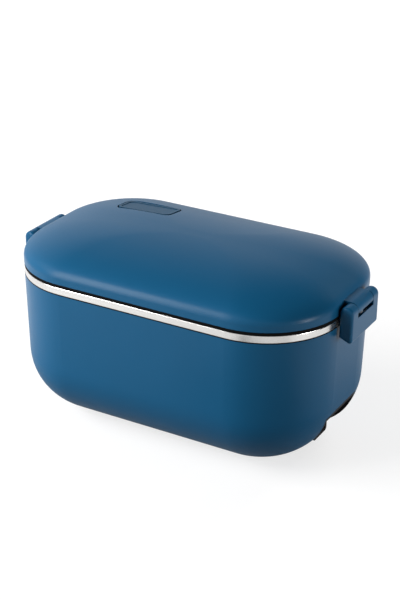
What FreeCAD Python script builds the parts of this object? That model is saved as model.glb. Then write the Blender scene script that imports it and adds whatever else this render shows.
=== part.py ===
import FreeCAD, Part
import math
import os
from types import SimpleNamespace

import Sketcher

# Heated lunch box: a plastic housing with a steel pot, a domed lid, two end clips and a steam flap.
# Millimetres, +Z up, +X along the length towards the power inlet, origin on the table under the middle.

DRIVING_SIZES = [
    ("box_length", 230.0, "length over the steel band"),
    ("box_width", 142.5, "width over the steel band"),
    ("corner_radius", 53.5, "corner radius of the outline seen from above"),
    ("foot_stand", 1.0, "how far the feet lift the housing off the table"),
    ("housing_height", 100.4, "underside of the housing to its shoulder"),
    ("housing_wall", 2.8, "wall of the housing"),
    ("wall_draft", 1.57, "lean of the walls in degrees"),
    ("bottom_radius", 44.0, "rounding between side wall and underside"),
    ("base_ledge", 3.25, "flat ledge round the bottom opening"),
    ("opening_round", 4.7, "corners of the bottom opening"),
    ("fit_gap", 0.3, "clearance between fixed pieces"),
    ("band_height", 5.8, "shoulder of the housing to the top of the steel rim"),
    ("band_seam", 0.5, "gap between the steel band and the shoulder"),
    ("steel_gauge", 0.7, "sheet thickness of the pot"),
    ("rim_round", 1.2, "rounding of the rim's outer edge"),
    ("mouth_round", 1.5, "rounding of the pot's mouth"),
    ("pot_gap", 1.4, "space between liner and pot"),
    ("pot_radius", 34.0, "rounding inside the bottom of the pot"),
    ("pot_clearance", 0.3, "space between pot and heating plate"),
    ("liner_wall", 1.6, "wall of the liner"),
    ("liner_flange", 1.5, "thickness of the liner's flange"),
    ("liner_gap", 1.2, "space between housing and liner"),
    ("liner_radius", 36.0, "rounding under the liner"),
    ("electrics_room", 16.5, "height between bottom cover and liner"),
    ("cover_thickness", 2.5, "bottom cover"),
    ("cover_recess", 0.4, "bottom cover above the housing's underside"),
    ("cover_screw_x", 48.0, "cover screws from the middle along X"),
    ("cover_screw_y", 7.9, "cover screws from the side of the bottom opening"),
    ("screw_radius", 1.25, "thread of the screws"),
    ("screw_head_radius", 2.6, "head of the screws"),
    ("screw_head_height", 1.5, "head of the screws"),
    ("cover_screw_length", 13.0, "cover screws without the head"),
    ("screw_boss_radius", 3.5, "screw bosses under the liner"),
    ("foot_radius", 6.0, "rubber feet, rings round the cover screws"),
    ("foot_rib", 0.8, "cover between a screw's head and its foot"),
    ("foot_seat", 1.0, "how deep the feet sit in the cover"),
    ("plate_length", 96.0, "heating plate"),
    ("plate_width", 44.0, "heating plate"),
    ("plate_round", 10.0, "corners of the heating plate"),
    ("plate_flange", 1.2, "flange of the heating plate"),
    ("plate_margin", 5.0, "width of the heating plate's flange"),
    ("plate_boss", 5.5, "depth of the heating plate under its flange"),
    ("seal_thickness", 1.0, "seal under the heating plate"),
    ("seal_width", 3.6, "width of the seal under the heating plate"),
    ("heater_length", 50.0, "heating element"),
    ("heater_width", 24.0, "heating element"),
    ("heater_height", 6.0, "heating element"),
    ("bracket_width", 10.0, "strap that holds the heating element"),
    ("bracket_gauge", 1.2, "strap that holds the heating element"),
    ("bracket_screw_y", 27.0, "strap screws from the middle"),
    ("bracket_boss", 5.0, "height of the strap's bosses under the liner"),
    ("bracket_screw_length", 5.0, "strap screws without the head"),
    ("thermostat_x", 34.0, "thermostat from the middle"),
    ("thermostat_radius", 7.5, "thermostat can"),
    ("thermostat_height", 7.0, "thermostat can"),
    ("terminal_length", 4.0, "blade terminals"),
    ("terminal_width", 3.2, "blade terminals"),
    ("terminal_gauge", 0.8, "blade terminals"),
    ("terminal_spread", 4.0, "thermostat terminals from its middle"),
    ("fuse_x", 34.0, "thermal fuse from the middle, on the far side"),
    ("fuse_radius", 2.0, "thermal fuse"),
    ("fuse_length", 12.0, "thermal fuse"),
    ("clip_strap", 0.8, "sheet of the fuse clip"),
    ("lead_radius", 0.9, "insulated leads"),
    ("lead_run", 8.0, "run of a lead where it leaves a terminal"),
    ("inlet_width", 43.0, "inside width of the inlet pocket"),
    ("inlet_height", 32.0, "inlet pocket's mouth above the housing's underside"),
    ("inlet_depth", 25.0, "inlet pocket's depth from the end of the box"),
    ("inlet_slope", 33.0, "slope of the inlet pocket's roof in degrees"),
    ("inlet_wall", 1.8, "wall of the inlet pocket"),
    ("socket_width", 20.0, "socket shroud outside"),
    ("socket_height", 10.4, "socket shroud outside"),
    ("socket_reach", 8.0, "socket shroud in front of the pocket's back wall"),
    ("socket_wall", 1.6, "wall of the socket shroud"),
    ("socket_depth", 10.0, "depth of the socket"),
    ("socket_axis", 11.8, "socket's axis above the housing's underside"),
    ("socket_flange", 2.4, "thickness of the socket's flange"),
    ("socket_flange_width", 31.0, "width of the socket's flange"),
    ("socket_screw_y", 12.8, "socket screws from the middle"),
    ("pin_pitch", 8.6, "distance between the two inlet pins"),
    ("inlet_pin_radius", 1.2, "inlet pins"),
    ("inlet_pin_inset", 3.0, "inlet pins behind the shroud's edge"),
    ("inlet_pin_tail", 5.0, "inlet pins behind the flange"),
    ("lid_seam", 1.75, "gap between steel rim and lid"),
    ("lid_overhang", 0.2, "lid beyond the steel band"),
    ("lid_side", 4.5, "upright edge of the lid"),
    ("lid_rise", 20.0, "dome above the upright edge"),
    ("lid_wall", 2.4, "wall of the lid"),
    ("lid_shoulder", 2.0, "inner shoulder that seats the lid's liner"),
    ("lid_liner_wall", 1.5, "lid liner"),
    ("lid_plug_depth", 3.2, "lid liner below the steel rim"),
    ("gasket_height", 3.0, "gasket between rim and lid liner"),
    ("gasket_inset", 3.6, "gasket behind the lid's edge"),
    ("gasket_width", 4.4, "gasket"),
    ("plug_inset", 8.5, "lid liner's plug behind the lid's edge"),
    ("clip_reach", 10.2, "clip's face beyond the end of the box"),
    ("clip_width", 41.0, "clips"),
    ("clip_drop", 16.0, "clip's lower edge below the steel rim"),
    ("clip_plate", 2.4, "front plate of the clips"),
    ("clip_side", 3.0, "side walls of the clips"),
    ("clip_foot_round", 2.2, "rounding of the clip's lower front edge"),
    ("clip_heel_rise", 3.0, "rise of the clip's underside towards the box"),
    ("clip_edge_round", 1.8, "rounding of the clip's side edges"),
    ("ear_radius", 4.6, "rounded ears of the clips"),
    ("clip_pin_rise", 3.9, "clip pin above the steel rim"),
    ("clip_pin_radius", 1.1, "clip pins"),
    ("clip_pin_length", 34.0, "clip pins"),
    ("running_gap", 0.05, "radial clearance of pins"),
    ("tab_width", 22.8, "lid tabs between the ears"),
    ("tab_gap", 0.4, "space between tab and ears"),
    ("tab_rise", 9.0, "top of the tabs above the steel rim"),
    ("tab_lift", 2.0, "lower edge of the tabs above the steel rim"),
    ("tab_round", 5.6, "rounding of the tabs"),
    ("tab_foot_round", 1.0, "rounding of the tabs' lower edge"),
    ("clip_slot", 2.6, "slot between tab and clip plate, in the clip's face"),
    ("clip_slot_slope", 1.2, "fall of the slot's lower edge behind the face, for the swing"),
    ("catch_reach", 4.8, "catch ledge beyond the end of the housing"),
    ("catch_drop", 7.2, "catch ledge below the steel rim"),
    ("catch_height", 3.0, "catch ledge"),
    ("catch_width", 20.0, "catch ledge"),
    ("snap_gap", 0.4, "space between catch and snap lip"),
    ("snap_height", 2.0, "snap lip"),
    ("snap_reach", 4.3, "snap lip"),
    ("vent_x", 61.8, "steam flap's middle from the left end"),
    ("vent_y", 28.8, "steam flap's middle along Y"),
    ("vent_drop", 2.45, "steam flap's face below the lid's top"),
    ("vent_tilt", 7.0, "steam flap's slope in degrees"),
    ("flap_length", 42.0, "steam flap"),
    ("flap_width", 19.0, "steam flap"),
    ("flap_thickness", 2.6, "steam flap"),
    ("flap_round", 4.2, "corners of the steam flap"),
    ("flap_rim", 1.8, "raised rim of the steam flap"),
    ("flap_panel", 0.35, "depth of the panel inside the rim"),
    ("flap_gap", 1.0, "groove round the steam flap"),
    ("vent_depth", 5.6, "depth of the flap's recess"),
    ("vent_floor", 1.8, "floor and walls of the flap's recess"),
    ("vent_pin_inset", 3.4, "flap's pin from its end"),
    ("vent_pin_drop", 1.6, "flap's pin below the flap's face"),
    ("vent_pin_radius", 0.55, "flap's pin"),
    ("vent_pin_seat", 1.2, "flap's pin in the walls of the recess"),
    ("steam_hole_radius", 2.5, "steam hole"),
    ("steam_hole_x", 6.0, "steam hole from the flap's middle"),
    ("steam_collar", 1.6, "wall of the steam hole's collar"),
    ("steam_seal", 1.0, "disc of the flap's seal"),
    ("steam_plug", 1.4, "nub of the flap's seal"),
]

doc = FreeCAD.newDocument("HeatedLunchBox")
sheet = doc.addObject("Spreadsheet::Sheet", "Sizes")
for row, (alias, number, meaning) in enumerate(DRIVING_SIZES, start=1):
    sheet.set("A%d" % row, meaning)
    sheet.set("B%d" % row, str(number))
    sheet.setAlias("B%d" % row, alias)
doc.recompute()


class Size:
    """A number together with the expression that works it out from the sheet."""

    def __init__(self, text, value):
        self.text = text
        self.value = value

    @staticmethod
    def of(other):
        return other if isinstance(other, Size) else Size(repr(float(other)), float(other))

    def join(self, sign, other, value):
        return Size("(%s %s %s)" % (self.text, sign, other.text), value)

    def __add__(self, other):
        other = Size.of(other)
        return self.join("+", other, self.value + other.value)

    def __sub__(self, other):
        other = Size.of(other)
        return self.join("-", other, self.value - other.value)

    def __mul__(self, other):
        other = Size.of(other)
        return self.join("*", other, self.value * other.value)

    def __truediv__(self, other):
        other = Size.of(other)
        return self.join("/", other, self.value / other.value)

    def __rsub__(self, other):
        return Size.of(other) - self

    def __neg__(self):
        return self * -1

    __radd__ = __add__
    __rmul__ = __mul__


def square_root(size):
    return Size("sqrt(%s)" % size.text, math.sqrt(size.value))


def cosine(degrees):
    return Size("cos(%s * 1 deg)" % degrees.text, math.cos(math.radians(degrees.value)))


def sine(degrees):
    return Size("sin(%s * 1 deg)" % degrees.text, math.sin(math.radians(degrees.value)))


def tangent(degrees):
    return Size("tan(%s * 1 deg)" % degrees.text, math.tan(math.radians(degrees.value)))


s = SimpleNamespace(**{alias: Size("Sizes." + alias, number) for alias, number, _ in DRIVING_SIZES})
ZERO = Size("0", 0.0)
ENDS = {"right": 1, "left": -1}

# Levels above the table and places worked out from the driving sizes
half_length = s.box_length / 2
half_width = s.box_width / 2
underside = s.foot_stand
shoulder = underside + s.housing_height
rim_top = shoulder + s.band_height
rim_under = rim_top - s.steel_gauge
tongue_top = rim_under - s.liner_flange
tongue_inset = s.steel_gauge + s.fit_gap
cover_under = underside + s.cover_recess
cover_top = cover_under + s.cover_thickness
liner_under = cover_top + s.electrics_room
liner_top = liner_under + s.liner_wall
seal_top = liner_top + s.seal_thickness
plate_top = seal_top + s.plate_flange
plate_under = seal_top - s.plate_boss
heater_under = plate_under - s.heater_height
pot_under = plate_top + s.pot_clearance
lid_edge = rim_top + s.lid_seam
dome_start = lid_edge + s.lid_side
lid_top = dome_start + s.lid_rise
gasket_top = rim_top + s.gasket_height
lid_seat = gasket_top + s.lid_liner_wall
plug_under = rim_top - s.lid_plug_depth
clip_face = half_length + s.clip_reach
clip_back = clip_face - s.ear_radius * 2
clip_pin_x = clip_face - s.ear_radius
clip_pin_z = rim_top + s.clip_pin_rise
clip_under = rim_top - s.clip_drop
tab_under = rim_top + s.tab_lift
catch_top = rim_top - s.catch_drop
catch_under = catch_top - s.catch_height
inlet_back = half_length - s.inlet_depth
socket_z = underside + s.socket_axis
vent_place = (s.vent_x - half_length, s.vent_y, lid_top - s.vent_drop)
# The flap's face leans down towards the back and the left end
VENT_TILT_AXIS = FreeCAD.Vector(-0.93, -0.37, 0)


# Helpers for sketches and features
def bind(thing, prop, size):
    thing.setExpression(prop, Size.of(size).text)


def new_body(name):
    return doc.addObject("PartDesign::Body", name)


def arc_between(start, end, radius):
    """Arc under a half circle; a positive radius turns left on the way."""
    middle = (start + end) * 0.5
    chord = end - start
    left = FreeCAD.Vector(-chord.y, chord.x, 0).normalize()
    height = math.sqrt(max(radius * radius - chord.Length * chord.Length / 4, 0))
    centre = middle + left * math.copysign(height, radius)
    first, last = (start, end) if radius > 0 else (end, start)
    angles = [math.atan2(p.y - centre.y, p.x - centre.x) for p in (first, last)]
    if angles[1] <= angles[0]:
        angles[1] += 2 * math.pi
    return Part.ArcOfCircle(Part.Circle(centre, FreeCAD.Vector(0, 0, 1), abs(radius)), *angles)


def outline(sketch, corners):
    """Closed outline through (u, v) or (u, v, radius) corners; a radius bends the side that ends there."""
    points = [(Size.of(c[0]), Size.of(c[1])) for c in corners]
    radii = [Size.of(c[2]) if len(c) > 2 else None for c in corners]
    spots = [FreeCAD.Vector(u.value, v.value, 0) for u, v in points]
    first = sketch.GeometryCount
    count = len(corners)
    ends = []
    for i in range(count):
        start, end, radius = spots[i - 1], spots[i], radii[i]
        if radius is None:
            sketch.addGeometry(Part.LineSegment(start, end), False)
        else:
            sketch.addGeometry(arc_between(start, end, radius.value), False)
        ends.append((2, 1) if radius is not None and radius.value < 0 else (1, 2))
    for i in range(count):
        side, following = first + i, first + (i + 1) % count
        finish, begin = ends[i][1], ends[(i + 1) % count][0]
        sketch.addConstraint(Sketcher.Constraint("Coincident", side, finish, following, begin))
        for kind, size in zip(("DistanceX", "DistanceY"), points[i]):
            index = sketch.addConstraint(Sketcher.Constraint(kind, side, finish, size.value))
            bind(sketch, "Constraints[%d]" % index, size)
        if radii[i] is not None:
            radius = radii[i] if radii[i].value > 0 else -radii[i]
            index = sketch.addConstraint(Sketcher.Constraint("Radius", side, radius.value))
            bind(sketch, "Constraints[%d]" % index, radius)


def new_sketch(body, name, plane, lift=ZERO):
    sketch = body.newObject("Sketcher::SketchObject", name)
    planes = {feature.Role: feature for feature in body.Origin.OriginFeatures}
    sketch.AttachmentSupport = [(planes[plane], "")]
    sketch.MapMode = "FlatFace"
    bind(sketch, "AttachmentOffset.Base.z", lift)
    return sketch


def drawing(body, name, plane, corners, lift=ZERO):
    sketch = new_sketch(body, name, plane, lift)
    outline(sketch, corners)
    return sketch


def rounded_rectangle(length_half, width_half, radius, x=ZERO, y=ZERO):
    """Corners of a rectangle with round corners, anticlockwise."""
    flat_x = length_half - radius
    flat_y = width_half - radius
    return [
        (x + length_half, y - flat_y, radius), (x + length_half, y + flat_y),
        (x + flat_x, y + width_half, radius), (x - flat_x, y + width_half),
        (x - length_half, y + flat_y, radius), (x - length_half, y - flat_y),
        (x - flat_x, y - width_half, radius), (x + flat_x, y - width_half),
    ]


def rectangle(low_u, low_v, high_u, high_v):
    return [(low_u, low_v), (high_u, low_v), (high_u, high_v), (low_u, high_v)]


def box_outline(inset):
    """The lunch box's outline from above, drawn in by a distance."""
    return rounded_rectangle(half_length - inset, half_width - inset, s.corner_radius - inset)


def circle(sketch, x, y, radius):
    centre = FreeCAD.Vector(Size.of(x).value, Size.of(y).value, 0)
    side = sketch.addGeometry(Part.Circle(centre, FreeCAD.Vector(0, 0, 1), Size.of(radius).value), False)
    for kind, size in (("DistanceX", x), ("DistanceY", y)):
        index = sketch.addConstraint(Sketcher.Constraint(kind, side, 3, Size.of(size).value))
        bind(sketch, "Constraints[%d]" % index, size)
    index = sketch.addConstraint(Sketcher.Constraint("Radius", side, Size.of(radius).value))
    bind(sketch, "Constraints[%d]" % index, radius)


def circles(body, name, plane, spots, lift=ZERO):
    sketch = new_sketch(body, name, plane, lift)
    for x, y, radius in spots:
        circle(sketch, x, y, radius)
    return sketch


def pad(body, sketch, length, both_ways=False, down=False):
    feature = body.newObject("PartDesign::Pad", sketch.Name + "_pad")
    feature.Profile = sketch
    bind(feature, "Length", length)
    feature.SideType = "Symmetric" if both_ways else "One side"
    feature.Reversed = down
    doc.recompute()
    return feature


def pocket(body, sketch, length, both_ways=False, up=False):
    before = body.Shape.Volume
    feature = body.newObject("PartDesign::Pocket", sketch.Name + "_pocket")
    feature.Profile = sketch
    bind(feature, "Length", length)
    feature.SideType = "Symmetric" if both_ways else "One side"
    feature.Reversed = up
    doc.recompute()
    if not body.Shape.Volume < before:
        raise ValueError("%s cuts nothing" % feature.Name)
    return feature


def ring(body, name, corners):
    """Sweep a section, drawn at the box's right end, once round the box's outline."""
    path = drawing(body, name + "_path", "XY_Plane", box_outline(ZERO))
    section = drawing(body, name + "_section", "XZ_Plane", corners)
    feature = body.newObject("PartDesign::AdditivePipe", name + "_ring")
    feature.Profile = section
    feature.Spine = (path, [])
    doc.recompute()
    return feature


def cylinder(name, radius, height, x, y, z, axis="Z"):
    shape = doc.addObject("Part::Cylinder", name)
    bind(shape, "Radius", radius)
    bind(shape, "Height", height)
    turns = {"X": (FreeCAD.Vector(0, 1, 0), 90), "Y": (FreeCAD.Vector(1, 0, 0), -90),
             "Z": (FreeCAD.Vector(0, 0, 1), 0)}
    shape.Placement = FreeCAD.Placement(FreeCAD.Vector(), FreeCAD.Rotation(*turns[axis]))
    for letter, size in zip("xyz", (x, y, z)):
        bind(shape, "Placement.Base." + letter, size)
    return shape


def fuse(name, shapes):
    joined = doc.addObject("Part::MultiFuse", name)
    joined.Shapes = shapes
    return joined


def group(name, shapes):
    """Separate solids of one kind kept together."""
    together = doc.addObject("Part::Compound", name)
    together.Links = shapes
    return together


def screw(name, x, y, head_z, length):
    """Flat-headed screw that points up, with its head starting at head_z."""
    head = cylinder(name + "_head", s.screw_head_radius, s.screw_head_height, x, y, head_z)
    shank = cylinder(name + "_shank", s.screw_radius, length, x, y, head_z + s.screw_head_height)
    return fuse(name, [head, shank])


def in_vent_frame(thing, prop="Placement"):
    """Place a body or sketch on the lid, with its local Z square to the steam flap."""
    setattr(thing, prop, FreeCAD.Placement(FreeCAD.Vector(), FreeCAD.Rotation(VENT_TILT_AXIS, 1)))
    for letter, size in zip("xyz", vent_place):
        bind(thing, "%s.Base.%s" % (prop, letter), size)
    bind(thing, prop + ".Rotation.Angle", s.vent_tilt)


def vent_layer(sketch, depth):
    """Lay a sketch parallel to the steam flap's face, at a depth along its own normal."""
    axis = FreeCAD.Rotation(VENT_TILT_AXIS, s.vent_tilt.value)
    normal = axis.multVec(FreeCAD.Vector(0, 0, 1))
    depth = Size.of(depth)
    sketch.setExpression("AttachmentOffset.Base.z", None)
    sketch.AttachmentOffset = FreeCAD.Placement(FreeCAD.Vector(), FreeCAD.Rotation(VENT_TILT_AXIS, 1))
    bind(sketch, "AttachmentOffset.Rotation.Angle", s.vent_tilt)
    for letter, size, share in zip("xyz", vent_place, normal):
        bind(sketch, "AttachmentOffset.Base." + letter, size + depth * share)


def vent_pin_layer(sketch):
    """Stand a sketch upright across the steam flap's pin."""
    upright = FreeCAD.Rotation(FreeCAD.Vector(1, 0, 0), 90)
    tilt = FreeCAD.Rotation(VENT_TILT_AXIS, s.vent_tilt.value)
    sketch.setExpression("AttachmentOffset.Base.z", None)
    place = FreeCAD.Vector(*[size.value for size in vent_place])
    sketch.AttachmentOffset = FreeCAD.Placement(
        upright.inverted().multVec(place), upright.inverted() * tilt * upright)


# Sections round the box: x from the middle at the right end, z above the table
def at(inset):
    return half_length - inset


def drafted(inset, top, z):
    """Inset of a leaning wall at height z when it starts at the given inset at the top."""
    return inset + (top - z) * tangent(s.wall_draft)


def curve(inset, top, floor, radius):
    """Foot of a leaning wall and end of its bottom rounding, as (x, z) points."""
    centre_z = floor + radius
    centre_inset = drafted(inset, top, centre_z) + radius / cosine(s.wall_draft)
    foot = (at(centre_inset - radius * cosine(s.wall_draft)), centre_z - radius * sine(s.wall_draft))
    return foot, (at(centre_inset), floor), centre_inset


housing_foot, housing_flat, housing_centre = curve(ZERO, shoulder, underside, s.bottom_radius)
floor_inset = housing_centre + s.liner_wall
opening_inset = housing_centre + s.base_ledge
opening_half_width = half_width - opening_inset


def opening_outline(gap):
    """The bottom opening, or the cover that fits in it with a gap."""
    return rounded_rectangle(
        half_length - opening_inset - gap, opening_half_width - gap, s.opening_round - gap)


def four_spots(x, y):
    return [(x * i, y * j) for i in (1, -1) for j in (1, -1)]


cover_spots = four_spots(s.cover_screw_x, opening_half_width - s.cover_screw_y)


def housing_section():
    wall_across = s.housing_wall / cosine(s.wall_draft)
    inner_foot, inner_flat, _ = curve(
        wall_across, shoulder, underside + s.housing_wall, s.bottom_radius - s.housing_wall)
    return [
        (at(ZERO), shoulder), (at(tongue_inset), shoulder), (at(tongue_inset), tongue_top),
        (at(wall_across), tongue_top), (at(wall_across), shoulder), inner_foot,
        inner_flat + (-(s.bottom_radius - s.housing_wall),),
        (at(floor_inset), underside + s.housing_wall), (at(floor_inset), underside),
        housing_flat, housing_foot + (s.bottom_radius,),
    ]


def inlet_outline(wall):
    """Side view of the inlet pocket, grown by a wall; open towards the end and the table."""
    mouth_z = underside + s.inlet_height
    rise = underside + s.bottom_radius - mouth_z
    reach = square_root(s.bottom_radius * s.bottom_radius - rise * rise)
    mouth_x = at(housing_centre) + reach
    back = inlet_back - wall
    beyond = half_length + s.bottom_radius
    grown = wall / cosine(s.inlet_slope)
    back_z = mouth_z - (mouth_x - back) * tangent(s.inlet_slope) + grown
    beyond_z = mouth_z + (beyond - mouth_x) * tangent(s.inlet_slope) + grown
    return [(back, -s.bottom_radius), (beyond, -s.bottom_radius), (beyond, beyond_z), (back, back_z)]


def catch_ledge(body, name, side):
    root = half_length - s.housing_wall / 2
    tip = half_length + s.catch_reach
    corners = [
        (root * side, catch_under), (tip * side, catch_under),
        (tip * side, catch_top - s.catch_height / 2), (root * side, catch_top),
    ]
    pad(body, drawing(body, name, "XZ_Plane", corners), s.catch_width, both_ways=True)


def make_housing():
    body = new_body("outer_housing")
    ring(body, "housing", housing_section())
    pad(body, drawing(body, "housing_floor", "XY_Plane", box_outline(housing_centre), underside),
        s.housing_wall)
    opening = drawing(body, "bottom_opening", "XY_Plane", opening_outline(ZERO), underside)
    pocket(body, opening, s.housing_wall, up=True)
    for end, side in ENDS.items():
        catch_ledge(body, "catch_" + end, side)
    cut = drawing(body, "inlet_cut", "XZ_Plane", inlet_outline(s.inlet_wall))
    pocket(body, cut, s.inlet_width + s.inlet_wall * 2, both_ways=True)
    return body


def make_inlet_pocket():
    """Black insert that lines the notch and follows the housing's outside."""
    form = new_body("housing_form")
    solid = [
        (at(ZERO), shoulder), (at(floor_inset), shoulder), (at(floor_inset), underside),
        housing_flat, housing_foot + (s.bottom_radius,),
    ]
    ring(form, "form", solid)
    walls = new_body("pocket_walls")
    outer = drawing(walls, "pocket_outer", "XZ_Plane", inlet_outline(s.inlet_wall))
    pad(walls, outer, s.inlet_width + s.inlet_wall * 2, both_ways=True)
    inner = drawing(walls, "pocket_inner", "XZ_Plane", inlet_outline(ZERO))
    pocket(walls, inner, s.inlet_width, both_ways=True)
    half = s.socket_width / 2 + s.fit_gap
    hole = drawing(walls, "pocket_hole", "YZ_Plane", rectangle(
        -half, socket_z - s.socket_height / 2 - s.fit_gap,
        half, socket_z + s.socket_height / 2 + s.fit_gap), inlet_back)
    pocket(walls, hole, s.inlet_wall * 2)
    screws = circles(walls, "pocket_screw_holes", "YZ_Plane", [
        (s.socket_screw_y * side, socket_z, s.screw_radius + s.running_gap) for side in (1, -1)], inlet_back)
    pocket(walls, screws, s.inlet_wall * 2)
    insert = doc.addObject("Part::Common", "inlet_pocket")
    insert.Base = walls
    insert.Tool = form
    return insert


def make_socket():
    """Socket with its shroud in the notch, its flange behind the pocket and its two pins."""
    seat = inlet_back - s.inlet_wall
    flange_back = seat - s.socket_flange
    front = inlet_back + s.socket_reach
    half_w = s.socket_width / 2
    half_h = s.socket_height / 2
    body = new_body("inlet_socket")
    shroud = drawing(body, "shroud", "YZ_Plane", rounded_rectangle(
        half_w, half_h, s.socket_wall * 1.5, ZERO, socket_z), seat)
    pad(body, shroud, front - seat)
    flange = drawing(body, "flange", "YZ_Plane", rectangle(
        -s.socket_flange_width / 2, socket_z - s.screw_head_radius,
        s.socket_flange_width / 2, socket_z + half_h), flange_back)
    pad(body, flange, s.socket_flange)
    cavity = drawing(body, "cavity", "YZ_Plane", rounded_rectangle(
        half_w - s.socket_wall, half_h - s.socket_wall, s.socket_wall, ZERO, socket_z), front)
    pocket(body, cavity, s.socket_depth)
    bores = circles(body, "pin_bores", "YZ_Plane", [
        (s.pin_pitch / 2 * side, socket_z, s.inlet_pin_radius + s.running_gap) for side in (1, -1)], front)
    pocket(body, bores, front - flange_back)
    holes = circles(body, "flange_holes", "YZ_Plane", [
        (s.socket_screw_y * side, socket_z, s.screw_radius + s.running_gap) for side in (1, -1)], seat)
    pocket(body, holes, s.socket_flange)

    tail = flange_back - s.inlet_pin_tail
    pins = [cylinder("inlet_pin_%d" % i, s.inlet_pin_radius, front - s.inlet_pin_inset - tail,
                     tail, s.pin_pitch / 2 * side, socket_z, "X") for i, side in enumerate((1, -1))]
    screws = []
    for i, side in enumerate((1, -1)):
        y = s.socket_screw_y * side
        head = cylinder("socket_head_%d" % i, s.screw_head_radius - s.fit_gap, s.screw_head_height,
                        flange_back - s.screw_head_height, y, socket_z, "X")
        shank = cylinder("socket_shank_%d" % i, s.screw_radius, s.socket_flange + s.inlet_wall,
                         flange_back, y, socket_z, "X")
        screws.append(fuse("socket_screw_%d" % i, [head, shank]))
    return [body, group("inlet_pins", pins), group("inlet_screws", screws)], tail


# Bottom cover with its screws, each in the middle of a ring-shaped foot
def make_bottom():
    cover = new_body("bottom_cover")
    plate = drawing(cover, "cover_plate", "XY_Plane", opening_outline(s.fit_gap), cover_under)
    pad(cover, plate, s.cover_thickness)
    head_seat = s.screw_head_radius + s.fit_gap
    foot_bore = head_seat + s.foot_rib
    seats = [(x, y, radius) for x, y in cover_spots for radius in (s.foot_radius, foot_bore)]
    pocket(cover, circles(cover, "foot_seats", "XY_Plane", seats, cover_under), s.foot_seat, up=True)
    heads = [(x, y, head_seat) for x, y in cover_spots]
    heads = circles(cover, "head_seats", "XY_Plane", heads, cover_under)
    pocket(cover, heads, s.screw_head_height, up=True)
    holes = [(x, y, s.screw_radius + s.running_gap) for x, y in cover_spots]
    holes = circles(cover, "cover_holes", "XY_Plane", holes, cover_under)
    pocket(cover, holes, s.cover_thickness, up=True)
    foot_height = cover_under + s.foot_seat
    feet = []
    for i, (x, y) in enumerate(cover_spots):
        foot = doc.addObject("Part::Cut", "foot_%d" % i)
        foot.Base = cylinder("foot_round_%d" % i, s.foot_radius, foot_height, x, y, ZERO)
        foot.Tool = cylinder("foot_bore_%d" % i, foot_bore, foot_height, x, y, ZERO)
        feet.append(foot)
    screws = [screw("cover_screw_%d" % i, x, y, cover_under, s.cover_screw_length)
              for i, (x, y) in enumerate(cover_spots)]
    return [cover, group("rubber_feet", feet), group("cover_screws", screws)]


# Liner in the housing, with bosses for the cover and the heater's strap
liner_inset = s.housing_wall + s.liner_gap
pot_inset = liner_inset + s.liner_wall + s.pot_gap


def make_liner():
    body = new_body("base_liner")
    inner = liner_inset + s.liner_wall
    outer_foot, outer_flat, centre = curve(liner_inset, tongue_top, liner_under, s.liner_radius)
    inner_foot, inner_flat, _ = curve(inner, tongue_top, liner_top, s.liner_radius - s.liner_wall)
    end = at(centre + s.liner_wall)
    edge = s.rim_round + s.fit_gap
    ring(body, "liner", [
        (at(edge), tongue_top), (at(edge), rim_under), (at(inner), rim_under),
        (at(inner), tongue_top), inner_foot, inner_flat + (-(s.liner_radius - s.liner_wall),),
        (end, liner_top), (end, liner_under), outer_flat, outer_foot + (s.liner_radius,),
        (at(liner_inset), tongue_top),
    ])
    pad(body, drawing(body, "liner_floor", "XY_Plane", box_outline(centre), liner_under), s.liner_wall)
    bosses = [(x, y, s.screw_boss_radius) for x, y in cover_spots]
    pad(body, circles(body, "cover_bosses", "XY_Plane", bosses, cover_top), s.electrics_room)
    straps = [(ZERO, s.bracket_screw_y * side, s.screw_boss_radius) for side in (1, -1)]
    strap_seat = liner_under - s.bracket_boss
    straps_sketch = circles(body, "strap_bosses", "XY_Plane", straps, strap_seat)
    pad(body, straps_sketch, s.bracket_boss + s.liner_wall / 2)
    pilot = s.screw_radius + s.running_gap
    holes = [(x, y, pilot) for x, y, _ in bosses]
    pocket(body, circles(body, "cover_pilots", "XY_Plane", holes, cover_top), s.cover_screw_length, up=True)
    holes = [(x, y, pilot) for x, y, _ in straps]
    pilots = circles(body, "strap_pilots", "XY_Plane", holes, strap_seat)
    pocket(body, pilots, s.bracket_screw_length, up=True)
    gap = s.plate_margin - s.fit_gap
    hole = rounded_rectangle(s.plate_length / 2 - gap, s.plate_width / 2 - gap, s.plate_round - gap)
    pocket(body, drawing(body, "plate_hole", "XY_Plane", hole, liner_top), s.liner_wall)
    return body


def make_pot():
    """Steel pot; its rolled rim comes down outside as the bright band."""
    body = new_body("steel_pot")
    inner = pot_inset + s.steel_gauge
    turn_z = rim_top - s.mouth_round
    floor = pot_under + s.steel_gauge
    outer_foot, outer_flat, centre = curve(pot_inset, turn_z, pot_under, s.pot_radius + s.steel_gauge)
    inner_foot, inner_flat, _ = curve(inner, turn_z, floor, s.pot_radius)
    end = at(centre + s.liner_wall)
    lip = inner - s.mouth_round
    skirt_foot = shoulder + s.band_seam
    inside = s.rim_round - s.steel_gauge
    ring(body, "pot", [
        (at(ZERO), rim_top - s.rim_round), (at(s.rim_round), rim_top, s.rim_round), (at(lip), rim_top),
        (at(inner), turn_z, s.mouth_round), inner_foot, inner_flat + (-s.pot_radius,), (end, floor),
        (end, pot_under), outer_flat, outer_foot + (s.pot_radius + s.steel_gauge,),
        (at(pot_inset), turn_z), (at(lip), rim_under, -(s.mouth_round - s.steel_gauge)),
        (at(s.rim_round), rim_under), (at(s.steel_gauge), rim_top - s.rim_round, -inside),
        (at(s.steel_gauge), skirt_foot), (at(ZERO), skirt_foot),
    ])
    pad(body, drawing(body, "pot_floor", "XY_Plane", box_outline(centre), pot_under), s.steel_gauge)
    return body


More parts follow.
